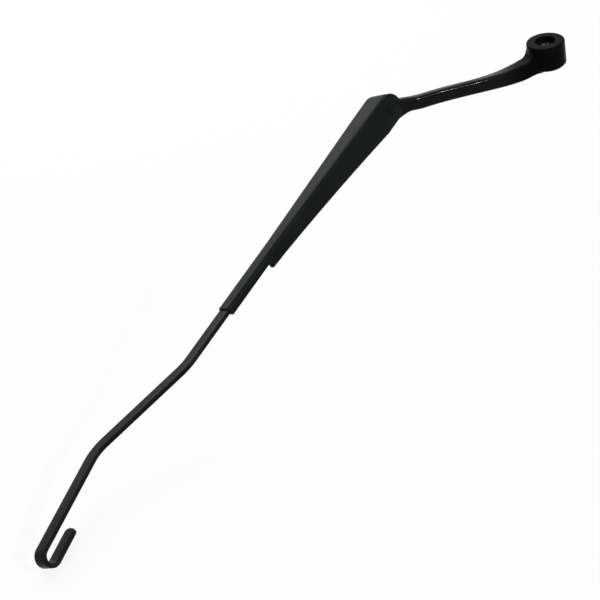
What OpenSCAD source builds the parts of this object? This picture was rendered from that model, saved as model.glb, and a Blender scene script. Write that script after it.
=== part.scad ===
// Windscreen wiper arm: a cast head that sits on the wiper spindle, a sprung
// hinge, a folded sheet retainer and a flat steel rod that ends in a hook.
// The origin is on the spindle axis, level with the seat of the spindle nut.
// +Z runs up the spindle and +X runs along the neck of the head.

/* [Boss] */
// Outer diameter of the boss round the spindle
boss_d = 26.4; // [24:0.2:30]
// Height of the boss
boss_h = 18; // [15:0.5:22]
// Rounding of the top edge of the boss
boss_round = 1; // [0.5:0.1:1.5]
// Chamfer of the bottom edge of the boss
boss_chamfer = 1.5; // [0.5:0.1:2]
// Diameter of the recess for the spindle nut
recess_d = 14; // [12:0.5:16]
// Depth of the recess for the spindle nut
recess_depth = 4.5; // [3:0.5:6]
// Diameter of the hole that the threaded spindle end passes through
thread_hole_d = 8.5; // [6.5:0.1:8.6]
// Length of that straight hole
thread_hole_h = 4; // [3:0.5:5]
// Diameter of the tapered bore at its narrow end
taper_top_d = 9.4; // [9:0.1:10]
// Gain in diameter of the tapered bore for each millimetre of depth
taper_rate = 0.2; // [0.1:0.01:0.25]

/* [Neck] */
// Distance from the spindle to the hinge pin, seen from above
reach = 123.2; // [110:0.5:140]
// Height of the hinge pin above the lower face of the boss
hinge_z = 6.7; // [2:0.1:8]
// Width of the neck
neck_w = 6.6; // [6:0.1:8]
// Height of the neck
neck_h = 7.8; // [7:0.1:8.4]
// Width of the neck where it grows out of the boss
root_w = 16; // [12:0.5:20]
// Height of the neck where it grows out of the boss
root_h = 11; // [9:0.5:12]
// Edge rounding of the neck
neck_round = 2.4; // [1:0.1:3]
// Distance from the spindle at which the neck is down to its own size
neck_start = 62; // [45:1:80]
// Distance from the spindle to the lowest point of the neck
dip_x = 36; // [28:1:44]
// Height of the middle of the neck at that lowest point
dip_z = 1.5; // [0.5:0.1:3]
// Height of the middle of the neck at the boss
root_z = 3.6; // [2:0.1:6]
// Height of the middle of the neck on its way to the hinge
run_z = 4.4; // [3:0.1:5]
// Fillet between the top of the neck and the boss
root_fillet = 5; // [2:0.5:6]
// Depth that the neck gains below as it meets the knuckle
flare_h = 5.2; // [0:0.2:6]
// Length over which it gains that depth
flare_len = 16; // [8:1:24]
// Sideways offset of the neck's end that clears the ear of the retainer
neck_shift = 1.3; // [1.3:0.1:1.8]

/* [Arm position] */
// Angle between the neck and the retainer, seen from above
arm_turn = 33.4; // [20:0.2:45]
// Downward slope of the retainer when the hinge is closed
arm_drop = 17; // [10:0.2:22]
// Tilt of the retainer about its own length
arm_roll = 18; // [10:0.2:24]
// Angle through which the arm lifts off the windscreen
lift = 60; // [40:1:60]

/* [Hinge] */
// Diameter of the hinge pin
pin_d = 5; // [4:0.1:5.4]
// Radial wall of the hinge bushes
bush_wall = 0.6; // [0.4:0.05:0.8]
// Running clearance between pin and bush, on the radius
pin_play = 0.03; // [0.01:0.01:0.08]
// Length of the sleeve of each bush
bush_len = 3.9; // [3:0.1:4]
// Thickness of the flange of each bush
bush_flange_t = 0.9; // [0.6:0.1:1.2]
// Diameter of the flange of each bush
bush_flange_d = 10.4; // [9:0.2:12]
// Side play between a flange and the retainer wall
side_play = 0.25; // [0.1:0.05:0.3]
// Diameter of the heads of the hinge pin
pin_head_d = 8; // [7:0.2:9]
// Thickness of the heads of the hinge pin
pin_head_t = 0.7; // [0.6:0.1:1.4]
// Gap between the knuckle and the rolled end of the retainer
knuckle_gap = 0.55; // [0.4:0.05:0.8]
// Gap at the stop between the nose of the knuckle and the retainer
stop_gap = 0.25; // [0.2:0.05:0.4]
// Length of the nose that stops the arm, in front of the hinge pin
nose_len = 9; // [7:0.5:11]
// Thickness of the nose
nose_t = 3.6; // [3:0.1:4.5]

/* [Retainer] */
// Sheet thickness
sheet = 1.2; // [1:0.05:1.4]
// Outer width of the retainer at the hinge
ret_w = 18.8; // [18.6:0.2:22]
// Depth of the retainer at the hinge
ret_h = 19.5; // [19:0.1:21]
// Outer bend radius along the two ridges
ridge_r = 2.4; // [1.8:0.1:3]
// Angle of web that is rolled down behind the hinge
roll_angle = 26; // [15:1:28]
// Length in front of the hinge over which width and depth hardly change
par_len = 14; // [12:1:20]
// Loss of width over that length
par_loss = 0.1; // [0.1:0.1:0.4]
// Distance from the hinge at which the retainer is down to its crimped width
taper_len = 130; // [100:1:132]
// Distance from the hinge to the end of the side walls
wall_len = 144.6; // [140:0.2:156]
// Depth of the side walls where they end
wall_h = 9.4; // [8:0.1:11]
// Hollow of the lower edge of the side walls
wall_sag = 1; // [0.5:0.1:2]
// Rounding of the lower corner where the side walls end
wall_corner = 1.5; // [0.5:0.1:2]
// Distance from the hinge to the end of the crimp
crimp_end = 186.6; // [178:0.2:200]
// Gap between the two lips of the crimp
lip_gap = 3; // [2:0.1:4]
// Clearance between the crimp and the rod
crimp_play = 0.03; // [0.01:0.01:0.08]

/* [Rod] */
// Width of the flat rod
rod_w = 9; // [8:0.5:10]
// Thickness of the flat rod
rod_t = 3; // [2.5:0.1:3.5]
// Rounding of the long edges of the rod
rod_edge = 0.9; // [0.4:0.1:1.2]
// Distance from the hinge to the inner end of the rod
rod_start = 132; // [126:1:135]
// Distance from the hinge to the first bend, measured to its corner
bend1_x = 230.5; // [215:0.5:250]
// Turn of the first bend
bend1_turn = 22.5; // [20:2.5:22.5]
// Radius of the middle of the rod in the first bend
bend1_r = 27; // [27:3:30]
// Length between the corners of the two bends
crank_len = 75.6; // [60:0.2:100]
// Turn of the second bend
bend2_turn = 37.2; // [36.8:0.2:37.6]
// Radius of the middle of the rod in the second bend
bend2_r = 22; // [15:1:35]
// Length from the corner of the second bend to the start of the hook
tail_len = 71.6; // [60:0.4:76]

/* [Hook] */
// Clear space between the shank and the leg of the hook
hook_gap = 8.6; // [8:0.1:10]
// Straight length of the leg of the hook
leg_len = 22.5; // [14:0.5:24]
// Corner rounding of the tip of the leg
tip_r = 4.2; // [1:0.1:4.4]

/* [Spring] */
// Distance from the hinge pin to the anchor pin of the spring
anchor_e = 6; // [5.8:0.1:6.6]
// Diameter of the anchor pin
anchor_d = 3; // [2.6:0.1:3.2]
// Wall of the knuckle round the anchor pin
anchor_wall = 1.6; // [1.2:0.1:2]
// Width of the slot in the knuckle in which the spring link moves
slot_w = 5.8; // [5.4:0.1:6.4]
// Wall of the knuckle between the bush and the slot
slot_wall = 1; // [0.8:0.1:1.1]
// Width of the spring link
link_w = 4.5; // [4:0.1:4.8]
// Thickness of the spring link
link_t = 1.2; // [1:0.1:1.5]
// Clearance between the anchor pin and the curl of the spring link
link_play = 0.6; // [0.55:0.05:0.75]
// Distance from the anchor pin to the hole in the spring link
link_len = 18; // [16:0.5:20]
// Wire diameter of the spring
wire_d = 1.6; // [1.2:0.1:1.8]
// Outer diameter of the coil
coil_d = 8; // [7:0.1:8.4]
// Distance from the anchor pin to the first turn of the coil
coil_start = 28; // [26:0.5:32]
// Number of turns of the coil
coil_turns = 52; // [40:1:56]
// Clearance of the spring wire in its two holes, on the radius
wire_play = 0.4; // [0.3:0.05:0.5]
// Gap between the spring wire and the parts that it runs beside
wire_gap = 0.15; // [0.1:0.05:0.3]
// Distance from the inner end of the rod to its spring hole
hole_inset = 4.5; // [3.5:0.5:6]

/* [Hidden] */
// Sides of a full circle and of one rounded corner
$fn = 64;
corner_steps = 4;
// Excess of a cutting shape past the face that it opens
over = 1;
boss_r = boss_d / 2;
seat_z = boss_h - recess_depth;
taper_h = seat_z - thread_hole_h;
taper_top_r = taper_top_d / 2;
taper_low_r = taper_top_r + taper_rate * taper_h / 2;
neck_root_x = boss_r / 2;
neck_end_x = reach - 4;
// The retainer's end is round about the hinge pin
top = ret_h / 2;
web_low = top - sheet;
wall_in = ret_w / 2 - sheet;
knuckle_r = web_low - knuckle_gap;
knuckle_w = 2 * (wall_in - side_play - bush_flange_t);
bush_in_r = pin_d / 2 + pin_play;
bush_out_r = bush_in_r + bush_wall;
hub_r = bush_out_r + slot_wall;
nose_top = web_low - stop_gap;
crimp_w = rod_w + 2 * sheet;
crimp_h = rod_t + 2 * sheet;
rod_z = web_low - rod_t / 2;
hook_r = (hook_gap + rod_t) / 2;
hole_x = rod_start + hole_inset;
wire_r = wire_d / 2;
hole_r = wire_r + wire_play;
coil_r = (coil_d - wire_d) / 2;
coil_len = coil_turns * wire_d;
// Height of the spring wire where it runs under the rod to its hole
pull_z = rod_z - rod_t / 2 - wire_gap - wire_r;
pull_angle = atan((pull_z + anchor_e * cos(lift / 2)) / (hole_x - anchor_e * sin(lift / 2)));
pull_len = (hole_x - anchor_e * sin(lift / 2)) / cos(pull_angle);
// The anchor pin swings by the lift, half of it to each side of the pull line's normal
anchor_phase = lift / 2 + pull_angle;
anchor_r = anchor_d / 2;
anchor_x = anchor_e * sin(anchor_phase);
anchor_z = -anchor_e * cos(anchor_phase);
// The curl sits half of the pin's rise and fall below the pin at rest
curl_drop = anchor_e * (1 - cos(lift / 2)) / 2;
curl_in = anchor_r + link_play;
curl_out = curl_in + link_t;
plate_top = -wire_r - wire_gap;
wire_leg = 2.2 * wire_d;

// Eased step from 0 to 1 and a straight blend between two values
function ease(t) = (1 - cos(180 * max(0, min(1, t)))) / 2;
function mix(a, b, t) = a + (b - a) * t;

// Outline of a rectangle with four rounded corners, centred on the origin
function rounded_box(w, h, r) = [
    for (q = [0:3], i = [0:corner_steps])
        let (a = 90 * (q + i / corner_steps))
        let (cx = (q == 0 || q == 3) ? w / 2 - r : r - w / 2)
        let (cy = (q < 2) ? h / 2 - r : r - h / 2)
        [cx + r * cos(a), cy + r * sin(a)]
];

// Outline of a channel: square at the bottom, rounded at the two top corners
function hood(w, z_top, z_low, r) = concat(
    [[-w / 2, z_low], [w / 2, z_low]],
    [for (i = [0:corner_steps]) let (a = 90 * i / corner_steps)
        [w / 2 - r + r * cos(a), z_top - r + r * sin(a)]],
    [for (i = [0:corner_steps]) let (a = 90 + 90 * i / corner_steps)
        [r - w / 2 + r * cos(a), z_top - r + r * sin(a)]]
);

// Solid through a row of outlines that stand across the X axis
module loft(stations, outlines) {
    n = len(outlines[0]);
    m = len(stations);
    polyhedron(
        points = [for (j = [0:m - 1], p = outlines[j]) [stations[j], p[0], p[1]]],
        faces = concat(
            [[for (i = [0:n - 1]) i]],
            [for (j = [0:m - 2], i = [0:n - 1]) [j * n + i, (j + 1) * n + i, (j + 1) * n + (i + 1) % n]],
            [for (j = [0:m - 2], i = [0:n - 1]) [j * n + i, (j + 1) * n + (i + 1) % n, j * n + (i + 1) % n]],
            [[for (i = [n - 1:-1:0]) (m - 1) * n + i]]
        )
    );
}

// Moves a child from the arm's own frame, with the hinge at its origin, to its place
module arm_frame() {
    translate([reach, 0, hinge_z - seat_z])
        rotate([0, 0, arm_turn])
            rotate([0, arm_drop, 0])
                rotate([arm_roll, 0, 0])
                    children();
}

// Turns a child drawn in X and Y so that it stands in X and Z, about the hinge axis
module across() {
    rotate([90, 0, 0])
        children();
}

// Frame of the spring's line of pull, with the curl of the link at its origin
module pull_frame() {
    translate([anchor_x, 0, anchor_z - curl_drop])
        rotate([0, -pull_angle, 0])
            children();
}

// Flat outline that wraps two circles, the first one about the origin
module belt(r1, x2, y2, r2) {
    span = norm([x2, y2]);
    heading = atan2(y2, x2);
    lean = acos((r1 - r2) / span);
    circle(r = r1);
    translate([x2, y2])
        circle(r = r2);
    rotate([0, 0, heading])
        polygon([
            [r1 * cos(lean), r1 * sin(lean)],
            [r1 * cos(lean), -r1 * sin(lean)],
            [span + r2 * cos(lean), -r2 * sin(lean)],
            [span + r2 * cos(lean), r2 * sin(lean)]
        ]);
}

// Boss of the head as a turned shape
module boss() {
    rotate_extrude()
        polygon(concat(
            [[0, 0], [boss_r - boss_chamfer, 0], [boss_r, boss_chamfer]],
            [for (i = [0:corner_steps]) let (a = 90 * i / corner_steps)
                [boss_r - boss_round + boss_round * cos(a), boss_h - boss_round + boss_round * sin(a)]],
            [[0, boss_h]]
        ));
}

// Nut recess, straight hole and tapered bore of the boss
module boss_bores() {
    translate([0, 0, seat_z])
        cylinder(d = recess_d, h = recess_depth + over);
    translate([0, 0, taper_h - over])
        cylinder(d = thread_hole_d, h = thread_hole_h + 2 * over);
    rotate_extrude()
        polygon([
            [0, -over],
            [taper_low_r + taper_rate * over / 2, -over],
            [taper_top_r, taper_h],
            [0, taper_h]
        ]);
}

// How far the neck still is from its own size, from 1 at the boss down to 0
function swell(x) = pow(max(0, 1 - (x - neck_root_x) / (neck_start - neck_root_x)), 2);
function neck_mid(x) =
    x < dip_x ? mix(root_z, dip_z, ease((x - neck_root_x) / (dip_x - neck_root_x))) :
    x < 0.75 * reach ? mix(dip_z, run_z, ease((x - dip_x) / (0.75 * reach - dip_x))) :
    mix(run_z, hinge_z, ease((x - 0.75 * reach) / (0.2 * reach)));
// Rise of the neck's top into the boss, a quarter of a circle
function fillet_rise(x) =
    let (s = max(0, min(1, (x - boss_r + over) / root_fillet)))
    root_fillet * (1 - sqrt(1 - pow(1 - s, 2)));
function neck_outline(x) =
    let (w = mix(neck_w, root_w, swell(x)))
    let (near_end = ease((x - neck_end_x) / flare_len + 1))
    let (flare = flare_h * near_end)
    let (h = mix(neck_h, root_h, swell(x)) + fillet_rise(x) + flare)
    let (z = neck_mid(x) + (fillet_rise(x) - flare) / 2)
    [for (p = rounded_box(w, h, neck_round)) [p[0] - neck_shift * near_end, p[1] + z]];

// Cast neck from the boss to the knuckle
module neck() {
    stations = concat(
        [neck_root_x],
        [for (i = [0:6]) boss_r - over + i * root_fillet / 6],
        [for (i = [1:18]) mix(boss_r - over + root_fillet, neck_end_x, i / 18)]
    );
    loft(stations, [for (x = stations) neck_outline(x)]);
}

// Knuckle between the walls of the retainer, with the nose that stops the arm
module knuckle() {
    across()
        linear_extrude(knuckle_w, center = true)
            belt(knuckle_r, anchor_x, anchor_z, anchor_r + anchor_wall);
    translate([0, -knuckle_w / 2, nose_top - nose_t])
        cube([nose_len, knuckle_w, nose_t]);
}

// Slot that lets the spring link swing through the knuckle
module link_slot() {
    slot_from = -90 - lift / 2 - 15;
    slot_to = 55;
    across()
        rotate([0, 0, slot_from])
            rotate_extrude(angle = slot_to - slot_from)
                translate([hub_r, -slot_w / 2])
                    square([2 * nose_len, slot_w]);
}

module mounting_head() {
    color("#17181a")
        difference() {
            union() {
                translate([0, 0, -seat_z]) {
                    boss();
                    neck();
                }
                arm_frame()
                    knuckle();
            }
            translate([0, 0, -seat_z])
                boss_bores();
            arm_frame() {
                link_slot();
                across()
                    cylinder(r = bush_out_r, h = 2 * knuckle_w, center = true);
                translate([anchor_x, 0, anchor_z])
                    across()
                        cylinder(r = anchor_r, h = 2 * knuckle_w, center = true);
            }
        }
}

module hinge_pin() {
    color("#2a2b2d")
        arm_frame()
            across() {
                cylinder(d = pin_d, h = ret_w, center = true);
                for (side = [0, 1])
                    mirror([0, 0, side])
                        translate([0, 0, ret_w / 2])
                            cylinder(d1 = pin_head_d, d2 = pin_head_d - pin_head_t, h = pin_head_t);
            }
}

// Flanged sleeve pressed into one end of the knuckle's bore
module hinge_bush() {
    difference() {
        across() {
            translate([0, 0, knuckle_w / 2 - bush_len])
                cylinder(r = bush_out_r, h = bush_len);
            translate([0, 0, knuckle_w / 2])
                cylinder(d = bush_flange_d, h = bush_flange_t);
        }
        across()
            cylinder(r = bush_in_r, h = 2 * ret_w, center = true);
    }
}

module hinge_bush_far() {
    color("#b8a05a")
        arm_frame()
            hinge_bush();
}

module hinge_bush_near() {
    color("#b8a05a")
        arm_frame()
            mirror([0, 1, 0])
                hinge_bush();
}

module anchor_pin() {
    color("#9a9da1")
        arm_frame()
            translate([anchor_x, 0, anchor_z])
                across()
                    cylinder(r = anchor_r, h = knuckle_w, center = true);
}

// Depth of the side wall at a distance from the hinge
function wall_depth(x) =
    let (u = (x - par_len) / (wall_len - par_len))
    mix(ret_h, wall_h, u) - 4 * wall_sag * u * (1 - u);

// Side view of the retainer in front of the hinge pin
module retainer_side() {
    edge_steps = 10;
    difference() {
        union() {
            polygon(concat(
                [[0, top], [wall_len, top]],
                [for (i = [0:edge_steps]) let (x = mix(wall_len, par_len, i / edge_steps))
                    [x, top - wall_depth(x)]],
                [[0, -top]]
            ));
            translate([wall_len - over, top - crimp_h])
                square([crimp_end - wall_len + over, crimp_h]);
        }
        translate([wall_len - wall_corner, top - wall_h + wall_corner])
            rotate([0, 0, -90])
                difference() {
                    square(2 * wall_corner);
                    circle(r = wall_corner);
                }
    }
}

// Channel shape of the folded sheet; an inset gives the space inside it
module channel(inset, x_start, x_end) {
    low = -2 * ret_h;
    wide = hood(ret_w - 2 * inset, top - inset, low, ridge_r - inset);
    less = hood(ret_w - par_loss - 2 * inset, top - inset, low, ridge_r - inset);
    slim = hood(crimp_w - 2 * inset, top - inset, low, ridge_r - inset);
    loft([x_start, par_len, taper_len, x_end], [wide, less, slim, slim]);
}

// End of the web, rolled down about the hinge pin
module rolled_end() {
    difference() {
        across()
            rotate([0, 0, 90])
                rotate_extrude(angle = roll_angle)
                    rotate([0, 0, -90])
                        polygon(hood(ret_w, top, 0, ridge_r));
        across()
            cylinder(r = web_low, h = 2 * wall_in, center = true);
    }
}

// Round ear that holds one end of the hinge pin
module ear() {
    far = 2 * ret_h;
    a = 90 + roll_angle;
    translate([0, ret_w / 2, 0])
        across()
            linear_extrude(sheet)
                intersection() {
                    circle(r = top);
                    polygon([[0, 0], [far * cos(a), far * sin(a)], [-far, 0], [-far, -far], [0, -far]]);
                }
}

module retainer() {
    color("#3a3d3e")
        arm_frame()
            difference() {
                union() {
                    difference() {
                        intersection() {
                            channel(0, 0, crimp_end);
                            across()
                                linear_extrude(2 * ret_w, center = true)
                                    retainer_side();
                        }
                        intersection() {
                            channel(sheet, -over, wall_len + over);
                            translate([-over, -ret_w, -ret_h])
                                cube([wall_len + over, 2 * ret_w, 2 * ret_h]);
                        }
                        crimp_space();
                    }
                    rolled_end();
                    ear();
                    mirror([0, 1, 0])
                        ear();
                }
                across()
                    cylinder(d = pin_d, h = 2 * ret_w, center = true);
            }
}

// Space for the rod under the web and in the crimp, and the gap between the two lips
module crimp_space() {
    crimp_len = crimp_end - wall_len;
    translate([rod_start - crimp_play, 0, rod_z])
        rod_straight(crimp_end - rod_start + over, crimp_play);
    translate([wall_len - over, -lip_gap / 2, top - crimp_h - over])
        cube([crimp_len + 2 * over, lip_gap, over + sheet + rod_edge]);
}

// Cross-section of the flat rod, optionally grown by a clearance
module rod_section(grow) {
    polygon(rounded_box(rod_w + 2 * grow, rod_t + 2 * grow, rod_edge + grow));
}

// Straight stretch of the rod along X
module rod_straight(length, grow = 0) {
    rotate([90, 0, 90])
        linear_extrude(length)
            rod_section(grow);
}

// Bend of the rod in its own plane, to the right for a positive side; children go on from its end
module rod_bend(radius, turn, side) {
    rotate([side > 0 ? 180 : 0, 0, 0])
        translate([0, radius, 0])
            rotate([0, 0, -90])
                rotate_extrude(angle = turn)
                    translate([radius, 0])
                        rod_section(0);
    translate([0, -side * radius, 0])
        rotate([0, 0, -side * turn])
            translate([0, side * radius, 0])
                children();
}

// Hook that turns under the rod and comes back as a straight leg
module hook() {
    translate([0, 0, -hook_r])
        across()
            rotate([0, 0, -90])
                rotate_extrude(angle = 180)
                    translate([hook_r, 0])
                        rotate([0, 0, 90])
                            rod_section(0);
    translate([-leg_len, 0, -2 * hook_r])
        intersection() {
            rod_straight(leg_len);
            translate([0, 0, -rod_t])
                linear_extrude(2 * rod_t)
                    leg_outline();
        }
}

// The leg of the hook from above, with rounded corners at its tip
module leg_outline() {
    for (side = [-1, 1])
        translate([tip_r, side * (rod_w / 2 - tip_r)])
            circle(r = tip_r);
    translate([tip_r, -rod_w])
        square([leg_len, 2 * rod_w]);
    translate([0, tip_r - rod_w / 2])
        square([leg_len, rod_w - 2 * tip_r]);
}

module wiper_rod() {
    cut1 = bend1_r * tan(bend1_turn / 2);
    cut2 = bend2_r * tan(bend2_turn / 2);
    first = bend1_x - cut1 - rod_start;
    second = crank_len - cut1 - cut2;
    third = tail_len - cut2;
    color("#1c1d20")
        arm_frame()
            translate([rod_start, 0, rod_z])
                difference() {
                    union() {
                        rod_straight(first);
                        translate([first, 0, 0])
                            rod_bend(bend1_r, bend1_turn, 1) {
                                rod_straight(second);
                                translate([second, 0, 0])
                                    rod_bend(bend2_r, bend2_turn, -1) {
                                        rod_straight(third);
                                        translate([third, 0, 0])
                                            hook();
                                    }
                            }
                    }
                    translate([hole_inset, 0, -rod_t])
                        cylinder(r = hole_r, h = 2 * rod_t);
                }
}

// Link that hooks round the anchor pin and carries the spring in its plate
module spring_link() {
    rise_from = 6;
    rise_to = 11;
    plate_end = link_len + 2 * hole_r;
    color("#8d9093")
        arm_frame()
            pull_frame()
                difference() {
                    across()
                        linear_extrude(link_w, center = true) {
                            difference() {
                                circle(r = curl_out);
                                circle(r = curl_in);
                                polygon([[-2 * curl_out, curl_out / 4], [0, 0], [0, -2 * curl_out],
                                         [2 * curl_out, -2 * curl_out], [2 * curl_out, 2 * curl_out],
                                         [-2 * curl_out, 2 * curl_out]]);
                            }
                            polygon([[0, -curl_out], [rise_from, -curl_out],
                                     [rise_to, plate_top - link_t], [plate_end, plate_top - link_t],
                                     [plate_end, plate_top], [rise_to, plate_top],
                                     [rise_from, -curl_in], [0, -curl_in]]);
                        }
                    translate([link_len, 0, plate_top - 2 * link_t])
                        cylinder(r = hole_r, h = 4 * link_t);
                }
}

// End of the spring: a crossing wire, a straight wire along the axis and a leg across it
module spring_end(length) {
    cylinder(r = wire_r, h = coil_r);
    sphere(r = wire_r);
    rotate([0, -90, 0])
        cylinder(r = wire_r, h = length - wire_d);
    translate([wire_d - length, 0, -wire_d])
        across()
            rotate([0, 0, 90])
                rotate_extrude(angle = 90)
                    translate([wire_d, 0])
                        circle(r = wire_r);
    translate([-length, 0, -wire_leg])
        cylinder(r = wire_r, h = wire_leg - wire_d);
}

module tension_spring() {
    coil_end = coil_start + coil_len;
    color("#7c8084")
        arm_frame()
            pull_frame() {
                translate([coil_start, 0, 0])
                    rotate([0, 90, 0])
                        rotate_extrude()
                            for (i = [0:coil_turns - 1])
                                translate([coil_r, (i + 0.5) * wire_d])
                                    circle(r = wire_r * 1.03);
                translate([coil_start + wire_r, 0, 0])
                    spring_end(coil_start + wire_r - link_len);
                translate([coil_end - wire_r, 0, 0])
                    rotate([0, 180, 0])
                        spring_end(pull_len - coil_end + wire_r);
            }
}

mounting_head();
hinge_pin();
hinge_bush_near();
hinge_bush_far();
retainer();
wiper_rod();
tension_spring();
spring_link();
anchor_pin();
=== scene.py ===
"""Looks of a windscreen wiper arm: cast head, folded retainer, flat rod with a hook, and sprung hinge."""

import logging
import math
from dataclasses import dataclass
from enum import Enum
from typing import Any, Callable, Mapping, Optional, Sequence, Union

import bmesh
import bpy
from mathutils import Euler, Matrix, Vector


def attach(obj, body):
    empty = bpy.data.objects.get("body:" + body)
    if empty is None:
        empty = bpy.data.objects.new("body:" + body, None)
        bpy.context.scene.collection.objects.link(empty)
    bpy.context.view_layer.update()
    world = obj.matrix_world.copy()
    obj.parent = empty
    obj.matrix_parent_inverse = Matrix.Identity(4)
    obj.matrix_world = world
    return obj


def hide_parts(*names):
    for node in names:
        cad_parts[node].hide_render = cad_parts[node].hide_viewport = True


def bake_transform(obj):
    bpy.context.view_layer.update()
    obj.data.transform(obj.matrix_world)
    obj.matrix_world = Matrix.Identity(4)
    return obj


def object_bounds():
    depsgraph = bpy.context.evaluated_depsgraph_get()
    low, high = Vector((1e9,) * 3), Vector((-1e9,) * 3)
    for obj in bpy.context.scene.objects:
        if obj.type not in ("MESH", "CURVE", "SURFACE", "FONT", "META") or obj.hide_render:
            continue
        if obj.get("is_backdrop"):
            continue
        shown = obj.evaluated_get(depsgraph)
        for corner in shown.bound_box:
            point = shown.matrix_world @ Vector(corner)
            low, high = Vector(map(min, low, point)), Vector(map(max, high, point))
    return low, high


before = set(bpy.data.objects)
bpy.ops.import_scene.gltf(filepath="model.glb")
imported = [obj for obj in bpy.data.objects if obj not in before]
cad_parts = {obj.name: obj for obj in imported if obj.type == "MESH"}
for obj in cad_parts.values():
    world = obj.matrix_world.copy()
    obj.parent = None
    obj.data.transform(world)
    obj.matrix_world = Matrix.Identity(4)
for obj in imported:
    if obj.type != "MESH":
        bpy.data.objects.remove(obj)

MM = 0.001
WHITE = (1.0, 1.0, 1.0, 1.0)
Colour = tuple[float, float, float]
Span = tuple[float, float]
Number = Union[float, "Wire"]
log = logging.getLogger("wiper_arm")


# Shader graph


class Wire:
    """An output socket of a shader graph that takes part in arithmetic."""

    def __init__(self, graph: "Graph", socket: bpy.types.NodeSocket) -> None:
        """Wraps a socket.

        Args:
            graph: The graph that the socket belongs to.
            socket: The output socket.
        """
        self.graph = graph
        self.socket = socket

    def _math(self, operation: str, first: Number, second: Number) -> "Wire":
        """Adds one Math node.

        Args:
            operation: The node's operation.
            first: Its first term.
            second: Its second term.

        Returns:
            The node's result.
        """
        return self.graph.add("ShaderNodeMath", {"operation": operation}, {0: first, 1: second})

    def __add__(self, other: Number) -> "Wire":
        """Adds a value."""
        return self._math("ADD", self, other)

    __radd__ = __add__

    def __sub__(self, other: Number) -> "Wire":
        """Takes a value away."""
        return self._math("SUBTRACT", self, other)

    def __rsub__(self, other: Number) -> "Wire":
        """Takes this socket away from a value."""
        return self._math("SUBTRACT", other, self)

    def __mul__(self, other: Number) -> "Wire":
        """Multiplies by a value."""
        return self._math("MULTIPLY", self, other)

    __rmul__ = __mul__

    def __pow__(self, other: Number) -> "Wire":
        """Raises to a power."""
        return self._math("POWER", self, other)

    def __rpow__(self, other: Number) -> "Wire":
        """Raises a value to the power of this socket."""
        return self._math("POWER", other, self)

    def at_most(self, other: Number) -> "Wire":
        """Keeps the smaller of the two."""
        return self._math("MINIMUM", self, other)

    def at_least(self, other: Number) -> "Wire":
        """Keeps the larger of the two."""
        return self._math("MAXIMUM", self, other)

    def out(self, name: str) -> "Wire":
        """Gives another output of the same node."""
        return Wire(self.graph, self.socket.node.outputs[name])


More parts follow.
